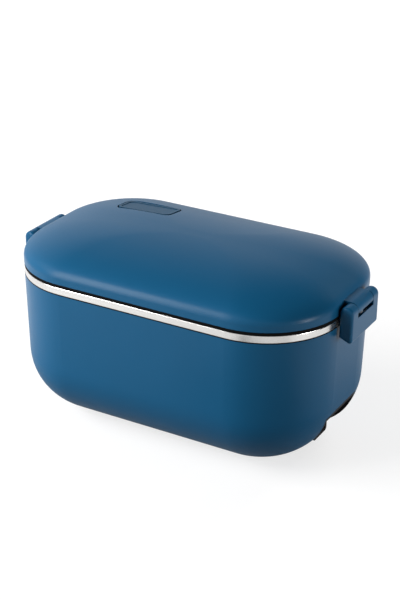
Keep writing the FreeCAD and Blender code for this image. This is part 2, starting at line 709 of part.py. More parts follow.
# Heater under the plate
def make_heater():
    plate = new_body("heating_plate")
    half_l = s.plate_length / 2
    half_w = s.plate_width / 2
    flange = rounded_rectangle(half_l, half_w, s.plate_round)
    boss = rounded_rectangle(half_l - s.plate_margin, half_w - s.plate_margin, s.plate_round - s.plate_margin)
    pad(plate, drawing(plate, "plate_face", "XY_Plane", flange, seal_top), s.plate_flange)
    pad(plate, drawing(plate, "plate_block", "XY_Plane", boss, plate_under), s.plate_boss)

    seal = new_body("plate_seal")
    ring_sketch = new_sketch(seal, "seal_ring", "XY_Plane", liner_top)
    edge = s.plate_margin - s.seal_width
    outline(ring_sketch, rounded_rectangle(half_l - edge, half_w - edge, s.plate_round - edge))
    hole = s.plate_margin - s.fit_gap
    outline(ring_sketch, rounded_rectangle(half_l - hole, half_w - hole, s.plate_round - hole))
    pad(seal, ring_sketch, s.seal_thickness)

    element = new_body("heating_element")
    pad(element, drawing(element, "element", "XY_Plane", rounded_rectangle(
        s.heater_length / 2, s.heater_width / 2, s.bracket_gauge), heater_under), s.heater_height)

    strap = new_body("heater_strap")
    low = heater_under - s.bracket_gauge
    seat = liner_under - s.bracket_boss
    leg = s.heater_width / 2 + s.fit_gap
    foot = s.bracket_screw_y + s.screw_boss_radius
    under_seat = seat - s.bracket_gauge
    gauge = s.bracket_gauge
    section = [
        (-foot, under_seat), (-leg - gauge, under_seat), (-leg - gauge, low), (leg + gauge, low),
        (leg + gauge, under_seat), (foot, under_seat), (foot, seat), (leg, seat), (leg, heater_under),
        (-leg, heater_under), (-leg, seat), (-foot, seat),
    ]
    pad(strap, drawing(strap, "strap", "YZ_Plane", section), s.bracket_width, both_ways=True)
    holes = [(ZERO, s.bracket_screw_y * side, s.screw_radius + s.running_gap) for side in (1, -1)]
    pocket(strap, circles(strap, "strap_holes", "XY_Plane", holes, seat), s.bracket_gauge)
    screws = [screw("strap_screw_%d" % i, ZERO, s.bracket_screw_y * side,
                    under_seat - s.screw_head_height, s.bracket_screw_length)
              for i, side in enumerate((1, -1))]
    return [plate, seal, element, strap, group("strap_screws", screws)]


thermostat_under = plate_under - s.thermostat_height
fuse_z = plate_under - s.fuse_radius - s.running_gap


def make_controls():
    can = new_body("thermostat")
    pad(can, circles(can, "can", "XY_Plane", [(s.thermostat_x, ZERO, s.thermostat_radius)], thermostat_under),
        s.thermostat_height)
    blades = new_sketch(can, "blades", "XY_Plane", thermostat_under)
    for side in (1, -1):
        middle = s.terminal_spread * side
        outline(blades, rectangle(
            s.thermostat_x - s.terminal_width / 2, middle - s.terminal_gauge / 2,
            s.thermostat_x + s.terminal_width / 2, middle + s.terminal_gauge / 2))
    pad(can, blades, s.terminal_length, down=True)

    link = cylinder("thermal_fuse", s.fuse_radius, s.fuse_length,
                    -s.fuse_x, -s.fuse_length / 2, fuse_z, "Y")

    clip = new_body("fuse_clip")
    inner = s.fuse_radius + s.running_gap
    outer = inner + s.clip_strap
    foot = outer + s.fuse_radius * 2
    x = -s.fuse_x
    section = [
        (x - foot, plate_under - s.clip_strap), (x - outer, plate_under - s.clip_strap), (x - outer, fuse_z),
        (x, fuse_z - outer, outer), (x + outer, fuse_z, outer), (x + outer, plate_under - s.clip_strap),
        (x + foot, plate_under - s.clip_strap), (x + foot, plate_under), (x + inner, plate_under),
        (x + inner, fuse_z), (x, fuse_z - inner, -inner), (x - inner, fuse_z, -inner),
        (x - inner, plate_under), (x - foot, plate_under),
    ]
    pad(clip, drawing(clip, "clip_strap", "XZ_Plane", section), s.fuse_length / 2, both_ways=True)
    return [can, link, clip]


def make_lead(name, points):
    """Insulated lead on straight runs joined by tangent arcs."""
    spots = [FreeCAD.Vector(*[Size.of(c).value for c in point]) for point in points]
    edges = []
    start = spots[0]
    for before, corner, after in zip(spots, spots[1:], spots[2:]):
        to_before = before - corner
        to_after = after - corner
        room = 0.45 * min(to_before.Length, to_after.Length)
        entry = corner + to_before.normalize() * room
        leave = corner + to_after.normalize() * room
        half_turn = (math.pi - to_before.getAngle(to_after)) / 2
        radius = room / math.tan(half_turn)
        inward = (to_before + to_after).normalize()
        middle = corner + inward * (radius / math.cos(half_turn) - radius)
        edges.append(Part.LineSegment(start, entry).toShape())
        edges.append(Part.Arc(entry, middle, leave).toShape())
        print(name, "bend radius %.1f" % radius)
        start = leave
    edges.append(Part.LineSegment(start, spots[-1]).toShape())
    path = Part.Wire(edges)
    section = Part.Wire(Part.makeCircle(s.lead_radius.value, spots[0], spots[1] - spots[0]))
    lead = doc.addObject("Part::Feature", name)
    lead.Shape = path.makePipeShell([section], True, False)
    expected = math.pi * s.lead_radius.value ** 2 * path.Length
    print(name, "volume share %.4f" % (lead.Shape.Volume / expected))
    return lead


def make_leads(tail):
    """Mains leads: inlet pin, thermostat, fuse, element and back to the other pin."""
    pin_y = s.pin_pitch / 2
    blade_z = thermostat_under - s.terminal_length / 2
    blade_y = s.terminal_spread
    blade_edge = s.terminal_width / 2
    element_z = heater_under + s.heater_height / 2
    element_end = s.heater_length / 2
    element_side = s.heater_width / 2
    fuse_end = s.fuse_length / 2
    hot = s.thermostat_x
    cold = -s.fuse_x
    run = s.lead_run
    live = [
        (tail, pin_y, socket_z), (tail - run * 1.75, pin_y, socket_z),
        (tail - run * 3.375, blade_y, blade_z), (hot + blade_edge, blade_y, blade_z),
    ]
    link = [
        (hot - blade_edge, -blade_y, blade_z), (hot - run * 2.75, -blade_y - run / 8, blade_z),
        (cold + run * 3, -blade_y - run * 0.625, blade_z),
        (cold + run * 1.125, -fuse_end - run * 1.5, blade_z + run * 0.3125),
        (cold, -fuse_end - run, fuse_z), (cold, -fuse_end, fuse_z),
    ]
    return_half = [
        (cold, fuse_end, fuse_z), (cold, fuse_end + run, fuse_z),
        (cold + run * 0.875, element_side + run * 1.1875, element_z),
        (cold + run * 2, element_side + run, element_z), (cold + run * 2, element_side, element_z),
    ]
    neutral = [
        (element_end, -element_side + run / 4, element_z),
        (hot + run * 0.375, -element_side + run * 0.275, element_z),
        (hot + run * 2, -pin_y, element_z - run / 8),
        (tail - run * 1.75, -pin_y, socket_z), (tail, -pin_y, socket_z),
    ]
    routes = {"live_lead": live, "thermostat_lead": link, "fuse_lead": return_half, "neutral_lead": neutral}
    return [make_lead(name, points) for name, points in routes.items()]


# Lid: a pillow dome through rounded rectangles that shrink faster towards the top
DOME_STEPS = (0, 12, 24, 36, 48, 60, 70, 79, 86)


def dome_sections(body, name, inset, rise):
    half_l = half_length + s.lid_overhang - inset
    half_w = half_width + s.lid_overhang - inset
    radius = s.corner_radius + s.lid_overhang - inset
    sketches = []
    for step, angle in enumerate(DOME_STEPS):
        share = math.cos(math.radians(angle))
        drawn_in = half_w * (1 - share) + (half_l - half_w) * (1 - share) ** 3
        corners = rounded_rectangle(half_l - drawn_in, half_w * share, radius * share)
        lift = dome_start + rise * math.sin(math.radians(angle))
        sketches.append(drawing(body, "%s_%d" % (name, step), "XY_Plane", corners, lift))
    return sketches


def loft(body, kind, sketches):
    feature = body.newObject("PartDesign::" + kind, sketches[0].Name + "_loft")
    feature.Profile = sketches[0]
    feature.Sections = sketches[1:]
    doc.recompute()
    return feature


def lid_outline(inset):
    return box_outline(inset - s.lid_overhang)


def facing(side, corners):
    """Outline for the right end as drawn, or its mirror image for the left end."""
    if side > 0:
        return corners
    return [(-corner[0], corner[1]) + tuple(-radius for radius in corner[2:]) for corner in corners]


def tab_section(side):
    root = half_length - s.lid_wall / 2
    top = rim_top + s.tab_rise
    foot = s.tab_foot_round
    return facing(side, [
        (root, tab_under), (clip_face - foot, tab_under), (clip_face, tab_under + foot, foot),
        (clip_face, top - s.tab_round), (clip_face - s.tab_round, top, s.tab_round), (root, top),
    ])


def make_lid_shell():
    body = new_body("lid_shell")
    pad(body, drawing(body, "lid_side", "XY_Plane", lid_outline(ZERO), lid_edge), s.lid_side)
    loft(body, "AdditiveLoft", dome_sections(body, "dome_out", ZERO, s.lid_rise))
    pocket(body, drawing(body, "lid_inside", "XY_Plane", lid_outline(s.lid_wall), lid_edge),
           lid_seat - lid_edge, up=True)
    rib = drawing(body, "lid_rib", "XY_Plane", lid_outline(s.lid_wall + s.lid_shoulder), lid_seat)
    pocket(body, rib, dome_start - lid_seat, up=True)
    loft(body, "SubtractiveLoft", dome_sections(body, "dome_in", s.lid_wall, s.lid_rise - s.lid_wall))
    for end, side in ENDS.items():
        pad(body, drawing(body, "tab_" + end, "XZ_Plane", tab_section(side)), s.tab_width, both_ways=True)
        bore = circles(body, "tab_bore_" + end, "XZ_Plane",
                       [(clip_pin_x * side, clip_pin_z, s.clip_pin_radius + s.running_gap)])
        pocket(body, bore, s.tab_width * 2, both_ways=True)

    half_l = s.flap_length / 2 + s.flap_gap
    half_w = s.flap_width / 2 + s.flap_gap
    radius = s.flap_round + s.flap_gap
    wall = s.vent_floor
    frame = drawing(body, "vent_frame", "XY_Plane", rounded_rectangle(
        half_l + wall, half_w + wall, radius + wall))
    depth = s.vent_depth + wall
    vent_layer(frame, -depth)
    pad(body, frame, depth - s.lid_wall / 2)
    recess = drawing(body, "vent_recess", "XY_Plane", rounded_rectangle(half_l, half_w, radius))
    vent_layer(recess, -s.vent_depth)
    pocket(body, recess, s.vent_depth * 2, up=True)
    collar = circles(body, "vent_collar", "XY_Plane",
                     [(s.steam_hole_x, ZERO, s.steam_hole_radius + s.steam_collar)])
    vent_layer(collar, -s.vent_depth)
    pad(body, collar, s.vent_depth - s.flap_thickness - s.steam_seal - s.running_gap)
    hole = circles(body, "steam_hole", "XY_Plane", [(s.steam_hole_x, ZERO, s.steam_hole_radius)])
    vent_layer(hole, ZERO)
    pocket(body, hole, depth * 2)
    pin = circles(body, "vent_pin_bore", "XZ_Plane", [
        (s.vent_pin_inset - s.flap_length / 2, -s.vent_pin_drop, s.vent_pin_radius + s.running_gap)])
    vent_pin_layer(pin)
    pocket(body, pin, s.flap_width + (s.flap_gap + s.vent_pin_seat) * 2, both_ways=True)
    return body


def make_lid_inside():
    liner = new_body("lid_liner")
    edge = s.lid_wall + s.fit_gap
    inner = s.plug_inset + s.lid_liner_wall
    end = inner + s.lid_wall

    floor = plug_under + s.lid_liner_wall

    def lid_at(inset):
        return at(inset - s.lid_overhang)

    ring(liner, "lid_liner", [
        (lid_at(edge), lid_seat), (lid_at(inner), lid_seat), (lid_at(inner), floor), (lid_at(end), floor),
        (lid_at(end), plug_under), (lid_at(s.plug_inset), plug_under),
        (lid_at(s.plug_inset), gasket_top), (lid_at(edge), gasket_top),
    ])
    pad(liner, drawing(liner, "lid_floor", "XY_Plane", lid_outline(inner), plug_under), s.lid_liner_wall)
    steam_way = circles(liner, "steam_way", "XY_Plane", [(s.steam_hole_x, ZERO, s.steam_hole_radius)])
    vent_layer(steam_way, ZERO)
    pocket(liner, steam_way, (lid_top - plug_under) * 2)

    gasket = new_body("lid_gasket")
    near = lid_at(s.gasket_inset)
    far = lid_at(s.gasket_inset + s.gasket_width)
    ring(gasket, "gasket", [(near, rim_top), (near, gasket_top), (far, gasket_top), (far, rim_top)])
    pins = [cylinder("clip_pin_" + name, s.clip_pin_radius, s.clip_pin_length,
                     clip_pin_x * side, -s.clip_pin_length / 2, clip_pin_z, "Y")
            for name, side in ENDS.items()]
    return [liner, gasket] + pins


# Clips that swing on the lid's tabs and hook under the housing's catches
def make_clip(end, side):
    body = new_body("clip_" + end)
    foot = s.clip_foot_round
    stadium = [
        (clip_face - foot, clip_under), (clip_face, clip_under + foot, foot), (clip_face, clip_pin_z),
        (clip_pin_x, clip_pin_z + s.ear_radius, s.ear_radius), (clip_back, clip_pin_z, s.ear_radius),
        (clip_back, clip_under + s.clip_heel_rise),
    ]
    profile = drawing(body, "clip_side_" + end, "XZ_Plane", facing(side, stadium))
    block = pad(body, profile, s.clip_width, both_ways=True)
    rims = ["Edge%d" % i for i, edge in enumerate(block.Shape.Edges, start=1)
            if abs(abs(edge.CenterOfMass.y) - s.clip_width.value / 2) < 1e-4]
    rounding = body.newObject("PartDesign::Fillet", "clip_rounding_" + end)
    rounding.Base = (block, rims)
    bind(rounding, "Radius", s.clip_edge_round)
    doc.recompute()
    slot_lip = tab_under - s.clip_slot
    slot_foot = slot_lip - s.clip_slot_slope
    inside = clip_face - s.clip_plate
    behind = clip_back - s.clip_plate
    beyond = clip_face + s.clip_plate
    high = clip_pin_z + s.ear_radius * 2
    window = [
        (behind, slot_foot), (inside, slot_foot), (clip_face, slot_lip), (beyond, slot_lip),
        (beyond, high), (behind, high),
    ]
    pocket(body, drawing(body, "clip_window_" + end, "XZ_Plane", facing(side, window)),
           s.tab_width + s.tab_gap * 2, both_ways=True)
    hollow = rectangle(behind, clip_under - s.clip_plate, inside, slot_foot)
    pocket(body, drawing(body, "clip_hollow_" + end, "XZ_Plane", facing(side, hollow)),
           s.clip_width - s.clip_side * 2, both_ways=True)
    bore = circles(body, "clip_bore_" + end, "XZ_Plane",
                   [(clip_pin_x * side, clip_pin_z, s.clip_pin_radius + s.running_gap)])
    pocket(body, bore, s.clip_pin_length + s.tab_gap * 2, both_ways=True)

    lip = new_body("clip_%s_snap_lip" % end)
    top = catch_under - s.snap_gap
    bar = [
        (inside - s.snap_reach, top - s.snap_height / 2), (inside, top - s.snap_height),
        (inside, top), (inside - s.snap_reach, top),
    ]
    pad(lip, drawing(lip, "snap_lip_" + end, "XZ_Plane", facing(side, bar)),
        s.catch_width - s.tab_gap * 2, both_ways=True)
    return [body, lip]


# Steam flap with its pin, seal and tube
def make_vent():
    flap = new_body("steam_flap")
    half_l = s.flap_length / 2
    half_w = s.flap_width / 2
    plate = rounded_rectangle(half_l, half_w, s.flap_round)
    pad(flap, drawing(flap, "flap_plate", "XY_Plane", plate, -s.flap_thickness), s.flap_thickness)
    panel = rounded_rectangle(half_l - s.flap_rim, half_w - s.flap_rim, s.flap_round - s.flap_rim)
    pocket(flap, drawing(flap, "flap_panel", "XY_Plane", panel), s.flap_panel)
    pin_x = s.vent_pin_inset - half_l
    bore = circles(flap, "flap_bore", "XZ_Plane",
                   [(pin_x, -s.vent_pin_drop, s.vent_pin_radius + s.running_gap)])
    pocket(flap, bore, s.flap_width * 2, both_ways=True)

    seal = new_body("steam_seal")
    disc = circles(seal, "seal_disc", "XY_Plane",
                   [(s.steam_hole_x, ZERO, s.steam_hole_radius + s.steam_collar)], -s.flap_thickness)
    pad(seal, disc, s.steam_seal, down=True)
    nub = circles(seal, "seal_nub", "XY_Plane",
                  [(s.steam_hole_x, ZERO, s.steam_hole_radius - s.tab_gap)], -s.flap_thickness)
    pad(seal, nub, s.steam_seal + s.steam_plug, down=True)

    pin = new_body("steam_flap_pin")
    round_pin = circles(pin, "flap_pin", "XZ_Plane", [(pin_x, -s.vent_pin_drop, s.vent_pin_radius)])
    pad(pin, round_pin, s.flap_width + (s.flap_gap + s.vent_pin_seat) * 2, both_ways=True)

    tube = new_body("tube_blank")
    low = s.vent_depth + s.vent_floor
    rings = circles(tube, "tube_rings", "XY_Plane", [
        (s.steam_hole_x, ZERO, s.steam_hole_radius + s.steam_collar),
        (s.steam_hole_x, ZERO, s.steam_hole_radius)], -low)
    pad(tube, rings, lid_top - plug_under, down=True)
    for body in (flap, seal, pin, tube):
        in_vent_frame(body)
    below = doc.addObject("Part::Box", "below_lid_liner")
    floor = plug_under + s.lid_liner_wall
    for prop, size in (("Length", s.box_length), ("Width", s.box_width), ("Height", s.box_width),
                       ("Placement.Base.x", -half_length), ("Placement.Base.y", -half_width),
                       ("Placement.Base.z", floor - s.box_width)):
        bind(below, prop, size)
    sleeve = doc.addObject("Part::Cut", "steam_tube")
    sleeve.Base = tube
    sleeve.Tool = below
    return [flap, seal, pin, sleeve]


socket_pieces, pin_tail = make_socket()
pieces = [make_housing(), make_inlet_pocket(), make_liner(), make_pot(), make_lid_shell()]
pieces += socket_pieces + make_bottom() + make_heater() + make_controls() + make_leads(pin_tail)
pieces += make_lid_inside() + make_vent()
for end, side in ENDS.items():
    pieces += make_clip(end, side)
doc.recompute()

# Every object is sound before anything is written
for thing in doc.Objects:
    if "Invalid" in thing.State or "Error" in thing.State:
        raise RuntimeError("%s failed: %s" % (thing.Name, thing.State))
for piece in pieces:
    if piece.Shape.isNull() or not piece.Shape.isValid() or not piece.Shape.Solids:
        raise RuntimeError("%s has no sound solid" % piece.Name)

os.makedirs("parts", exist_ok=True)
for piece in pieces:
    piece.Label = piece.Name
    piece.Shape.exportStep("parts/%s.step" % piece.Label)
    print("%-24s solids %d volume %.1f" % (piece.Label, len(piece.Shape.Solids), piece.Shape.Volume))
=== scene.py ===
import math

import bmesh
import bpy
from bpy.props import FloatProperty, FloatVectorProperty, PointerProperty
from mathutils import Matrix, Vector


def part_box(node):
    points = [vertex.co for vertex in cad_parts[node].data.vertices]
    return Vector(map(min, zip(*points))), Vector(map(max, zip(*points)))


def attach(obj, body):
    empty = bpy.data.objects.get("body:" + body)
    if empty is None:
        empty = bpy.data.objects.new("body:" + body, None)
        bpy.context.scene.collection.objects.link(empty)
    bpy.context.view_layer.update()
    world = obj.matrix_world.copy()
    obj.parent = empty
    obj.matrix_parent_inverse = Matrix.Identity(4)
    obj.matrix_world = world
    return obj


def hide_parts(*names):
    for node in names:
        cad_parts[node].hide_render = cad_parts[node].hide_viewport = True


bl_info = {
    "name": "Heated Lunch Box",
    "version": (1, 0, 0),
    "blender": (4, 5, 0),
    "location": "3D View > Sidebar > Lunch Box",
    "description": "Finishes the pieces of a heated lunch box and sets it in a white studio",
    "category": "Object",
}

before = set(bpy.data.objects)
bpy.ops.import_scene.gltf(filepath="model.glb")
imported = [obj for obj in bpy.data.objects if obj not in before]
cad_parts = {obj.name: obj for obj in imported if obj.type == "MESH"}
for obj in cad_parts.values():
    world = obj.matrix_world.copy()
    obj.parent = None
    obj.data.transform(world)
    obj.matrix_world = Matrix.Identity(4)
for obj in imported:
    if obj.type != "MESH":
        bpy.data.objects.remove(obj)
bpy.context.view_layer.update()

MM = 0.001
UP = Vector((0, 0, 1))
SHARP_ANGLE = math.radians(35)


# Sizes and colours that a user would change
def colour(name, description, default):
    return FloatVectorProperty(
        name=name, description=description, subtype="COLOR", size=3, default=default, min=0, max=1)


def length(name, description, millimetres):
    return FloatProperty(name=name, description=description, unit="LENGTH", default=millimetres * MM)


def share(name, description, default):
    return FloatProperty(
        name=name, description=description, subtype="FACTOR", default=default, min=0, max=1)


def degrees(name, description, default):
    return FloatProperty(name=name, description=description, subtype="ANGLE", default=math.radians(default))


def number(name, description, default):
    return FloatProperty(name=name, description=description, default=default)


class PlasticSettings(bpy.types.PropertyGroup):
    blue: colour("Blue", "Moulded shells and clips", (0.005, 0.082, 0.182))
    flap: colour("Flap blue", "Steam flap, a shade darker than the lid", (0.006, 0.060, 0.125))
    pale: colour("Pale grey", "Inner liners", (0.60, 0.61, 0.60))
    black: colour("Black", "Inlet and bottom cover", (0.011, 0.011, 0.012))
    roughness: share("Roughness", "Roughness of the blue shells", 0.35)
    specular: share("Gloss level", "Strength of the shells' reflections", 0.20)
    grain: length("Grain", "Size of the moulded grain", 0.55)
    grain_depth: length("Grain depth", "Depth of the moulded grain", 0.012)
    edge_round: length("Edge rounding", "Softening of the moulded edges", 0.45)
    # Width over which gaps get painted shade: a darker colour in place of the shade they hold
    crevice_shade: length("Crevices", "Width of the gaps that gather dirt and shade", 3.0)


class MetalSettings(bpy.types.PropertyGroup):
    # The walls' colour is darker than the rim's: painted shade that dims their reflections, besides their
    # real brushing
    steel: colour("Polished steel", "Rim of the pot", (0.665, 0.655, 0.638))
    satin_and_shade: colour("Satin steel", "Brushed walls and floor of the pot", (0.55, 0.545, 0.54))
    zinc: colour("Plated steel", "Screws, hinge pins, strap and fuse clip", (0.55, 0.55, 0.57))
    aluminium: colour("Aluminium", "Heating plate and element", (0.71, 0.72, 0.73))
    nickel: colour("Nickel", "Pins of the inlet", (0.66, 0.63, 0.56))
    rim: length("Rim", "Height of the pot's polished rim", 5.5)
    brushing: length("Brushing", "Width of the brushed lines", 0.12)


class ScrewSettings(bpy.types.PropertyGroup):
    head_radius: length("Head", "Radius of a screw's head", 2.6)
    head_height: length("Head height", "Height of a screw's head", 1.5)
    shank_radius: length("Shank", "Radius over the thread", 1.25)
    thread_depth: length("Thread depth", "Depth of the thread", 0.25)
    pitch: length("Pitch", "From one turn of the thread to the next", 1.0)
    recess_reach: length("Recess", "Reach of the cross recess from its middle", 1.35)
    recess_half: length("Recess width", "Half the width of the cross recess", 0.3)
    recess_depth: length("Recess depth", "Depth of the cross recess", 0.9)


class RubberSettings(bpy.types.PropertyGroup):
    corner: length("Corner", "Corner radius of the rim in plan", 53.5)
    foot_radius: length("Foot", "Outer radius of a foot", 6.0)
    foot_bore: length("Foot bore", "Inner radius of a foot", 3.7)
    foot_round: length("Foot rounding", "Rounding of a foot's lower edges", 0.5)
    # The dark silicone also paints the shade lines in the seams by the rim, on the gasket's lip and the
    # seat ring
    dark: colour("Dark silicone", "Lid gasket, seat ring and feet", (0.004, 0.004, 0.004))
    milky: colour("Milky silicone", "Seals and steam tube", (0.66, 0.66, 0.63))
    sleeve: colour("Lead sleeve", "Braided sleeve of the leads", (0.58, 0.55, 0.50))


class StageSettings(bpy.types.PropertyGroup):
    azimuth: degrees("Azimuth", "Camera's turn round the box from its front", 29.428)
    elevation: degrees("Elevation", "Camera's height above the horizon", 25.112)
    roll: degrees("Roll", "Camera's roll", 0.627)
    aim: FloatVectorProperty(
        name="Aim", description="Point in the middle of the picture", subtype="TRANSLATION",
        default=(-2.02 * MM, 11.35 * MM, 79.21 * MM))
    distance: length("Distance", "Camera from the aim", 996.44)
    lens: number("Lens", "Focal length in millimetres on a 36 mm sensor", 87.014)
    floor: colour("Floor", "Floor as it lights the box", (0.32, 0.32, 0.32))
    floor_lift: share("Floor lift", "White added to the floor as it is seen", 0.72)
    floor_glint: share("Floor in gloss", "White added to the floor as metal shows it", 0.78)
    room: share("Room light", "Light of the room on the box", 0.12)
    ceiling: share("Ceiling", "Brightness of the ceiling beside the white walls", 0.04)


class LunchBoxSettings(bpy.types.PropertyGroup):
    plastic: PointerProperty(type=PlasticSettings)
    metal: PointerProperty(type=MetalSettings)
    screws: PointerProperty(type=ScrewSettings)
    rubber: PointerProperty(type=RubberSettings)
    stage: PointerProperty(type=StageSettings)


# Shader nodes
class Socket:
    """An output socket of a node tree. Arithmetic on it adds Math nodes."""

    def __init__(self, tree, socket):
        self.tree = tree
        self.socket = socket

    def math(self, operation, *values, clamp=False):
        return self.tree.node(
            "ShaderNodeMath", {"operation": operation, "use_clamp": clamp}, dict(enumerate(values)))

    def __add__(self, other):
        return self.math("ADD", self, other)

    def __sub__(self, other):
        return self.math("SUBTRACT", self, other)

    def __rsub__(self, other):
        return self.math("SUBTRACT", other, self)

    def __mul__(self, other):
        return self.math("MULTIPLY", self, other)

    def maximum(self, other):
        return self.math("MAXIMUM", self, other)

    def clamped(self):
        return self.math("ADD", self, 0.0, clamp=True)

    def faded(self, start, end):
        """0 up to the start and 1 from the end on, with a smooth step between them."""
        return self.tree.node("ShaderNodeMapRange", {"interpolation_type": "SMOOTHSTEP"}, {
            "Value": self, "From Min": start, "From Max": end})


class NodeTree:
    """Node tree of a material or world."""

    def __init__(self, owner):
        owner.use_nodes = True
        self.owner = owner
        self.nodes = owner.node_tree.nodes
        self.links = owner.node_tree.links
        self.nodes.clear()

    def node(self, kind, attributes=None, sockets=None, output=0):
        """New node with its attributes and inputs set. Gives the output asked for."""
        made = self.nodes.new(kind)
        for name, value in (attributes or {}).items():
            setattr(made, name, value)
        for name, value in (sockets or {}).items():
            if isinstance(value, Socket):
                self.links.new(value.socket, made.inputs[name])
            else:
                made.inputs[name].default_value = value
        outputs = made.outputs
        return Socket(self, outputs[output]) if len(outputs) else None

    def place(self):
        """Place on the object in metres, which moves with it."""
        return self.node("ShaderNodeTexCoord", output="Object")

    def normal(self):
        return self.node("ShaderNodeNewGeometry", output="Normal")

    def dot(self, first, second):
        return self.node(
            "ShaderNodeVectorMath", {"operation": "DOT_PRODUCT"}, {0: first, 1: second}, "Value")

    def stretched(self, scale):
        """Place with each axis multiplied by its own scale."""
        return self.node("ShaderNodeVectorMath", {"operation": "MULTIPLY"}, {0: self.place(), 1: scale})

    def noise(self, size, detail=2.0, vector=None):
        return self.node("ShaderNodeTexNoise", {}, {
            "Vector": vector or self.place(), "Scale": 1 / size, "Detail": detail})

    def mix(self, amount, first, second):
        return self.node("ShaderNodeMix", {"data_type": "RGBA"}, {
            0: amount, 6: first, 7: second}, 2)

    def bevel(self, radius):
        return self.node("ShaderNodeBevel", {"samples": 6}, {"Radius": radius})

    def worn(self, rounded):
        """1 on sharp edges and 0 on open faces."""
        contrast = 9.0
        return ((1.0 - self.dot(rounded, self.normal())) * contrast).clamped()

    def crevice_shade(self, reach):
        """1 deep in gaps and 0 on open faces: the mask of painted shade in gaps, from ambient occlusion."""
        contrast, threshold = 2.6, 0.8
        opening = self.node("ShaderNodeAmbientOcclusion", {"samples": 8}, {"Distance": reach}, "AO")
        return ((1.0 - opening) * contrast - threshold).clamped()

    def bump(self, height, depth, normal):
        return self.node("ShaderNodeBump", {}, {"Distance": depth, "Height": height, "Normal": normal})

    def surface(self, sockets):
        shader = self.node("ShaderNodeBsdfPrincipled", {}, sockets)
        self.node("ShaderNodeOutputMaterial", {}, {"Surface": shader})
        return self.owner


def opaque(rgb, factor=1.0):
    return (rgb[0] * factor, rgb[1] * factor, rgb[2] * factor, 1.0)


def material_tree(name):
    return NodeTree(bpy.data.materials.new(name))


def settings():
    return bpy.context.scene.lunch_box


# Finishes
def moulded_plastic(name, rgb, roughness, specular=0.5):
    """Satin injection moulding with a fine grain, edges polished by handling and painted shade darkening
    its gaps.
    """
    plastic = settings().plastic
    tree = material_tree(name)
    rounded = tree.bevel(plastic.edge_round)
    wear = tree.worn(rounded)
    cloud = tree.noise(45 * MM, 3.0)
    grain = tree.noise(plastic.grain, 2.0)
    shade = tree.mix(cloud, opaque(rgb, 0.95), opaque(rgb, 1.05))
    shade = tree.mix(wear * 0.2, shade, opaque(rgb, 1.3))
    # Painted shade: the colour darkens towards near-black deep in gaps and recesses
    shade = tree.mix(tree.crevice_shade(plastic.crevice_shade), shade, opaque(rgb, 0.12))
    return tree.surface({
        "Base Color": shade,
        "Roughness": (grain - 0.5) * 0.10 + (cloud - 0.5) * 0.06 + roughness - wear * 0.08,
        "Specular IOR Level": specular,
        "Normal": tree.bump(grain, plastic.grain_depth, rounded),
    })


def brushed_steel(name, rim, walls, rim_foot, line):
    """Drawn stainless sheet with a polished rim and brushing round the walls and along the floor; the walls
    take a darker colour than the rim, which paints their reflections dimmer.
    """
    tree = material_tree(name)
    height = tree.node("ShaderNodeSeparateXYZ", {}, {"Vector": tree.place()}, "Z")
    polish_fade = 1.5 * MM
    # 1 on the walls below the rim: their brushed roughness and their painted shade
    satin_and_shade = 1.0 - height.faded(rim_foot - polish_fade, rim_foot)
    rounded = tree.bevel(0.2 * MM)
    # 1 on level faces and 0 on upright ones
    level = tree.dot(tree.normal(), UP)
    level = level * level
    # Scale along the lines, which draws the noise out into strokes
    along = 0.02

    def brushed(width):
        upright = tree.noise(width, 3.0, tree.stretched((along, along, 1.0)))
        flat = tree.noise(width, 3.0, tree.stretched((along, 1.0, along)))
        return upright * (1.0 - level) + flat * level

    lines = brushed(line)
    bands = brushed(line * 20)
    smear = tree.noise(30 * MM, 2.0)
    # Painted shade: the walls take a darker colour than the rim, as well as their real brushed lines
    dull, bright = (tree.mix(satin_and_shade, opaque(rim, factor), opaque(walls, factor)) for factor in (0.84, 1.12))
    return tree.surface({
        "Base Color": tree.mix(lines * 0.5 + bands * 0.5, dull, bright),
        "Metallic": 1.0,
        "Roughness": lines * 0.14 + (bands - 0.5) * 0.16 + smear * 0.08 + satin_and_shade * 0.06 + 0.13,
        "Normal": tree.bump(lines, 0.002 * MM, rounded),
    })


def plated_metal(name, rgb, roughness):
    """Small turned or pressed pieces with a dull plating."""
    tree = material_tree(name)
    spots = tree.noise(1.2 * MM, 4.0)
    rounded = tree.bevel(0.15 * MM)
    return tree.surface({
        "Base Color": tree.mix(spots, opaque(rgb, 0.85), opaque(rgb, 1.1)),
        "Metallic": 1.0,
        "Roughness": spots * 0.2 + (roughness - 0.1),
        "Normal": tree.bump(spots, 0.004 * MM, rounded),
    })


def machined_aluminium(name, rgb):
    """Cast plate faced on a lathe, with rings round the middle."""
    tree = material_tree(name)
    rings = tree.node("ShaderNodeTexWave", {"wave_type": "RINGS", "rings_direction": "Z"}, {
        "Vector": tree.place(), "Scale": 1 / (9 * MM), "Distortion": 0.6, "Detail": 2.0})
    cast = tree.noise(0.8 * MM, 3.0)
    rounded = tree.bevel(0.25 * MM)
    rings = tree.node("ShaderNodeRGBToBW", {}, {"Color": rings})
    return tree.surface({
        "Base Color": tree.mix(cast, opaque(rgb, 0.9), opaque(rgb, 1.05)),
        "Metallic": 1.0,
        "Roughness": rings * 0.12 + cast * 0.1 + 0.26,
        "Normal": tree.bump(rings + cast * 0.5, 0.01 * MM, rounded),
    })


def silicone(name, rgb, roughness, specular, milky=0.0):
    """Soft silicone with a dusty bloom."""
    tree = material_tree(name)
    bloom = tree.noise(6 * MM, 4.0)
    rounded = tree.bevel(0.3 * MM)
    return tree.surface({
        "Base Color": tree.mix(bloom, opaque(rgb, 0.8), opaque(rgb, 1.25)),
        "Roughness": bloom * 0.2 + (roughness - 0.1),
        "Specular IOR Level": specular,
        "Subsurface Weight": milky,
        "Subsurface Radius": (0.6 * MM, 0.6 * MM, 0.6 * MM),
        "Normal": tree.bump(tree.noise(0.4 * MM), 0.006 * MM, rounded),
    })


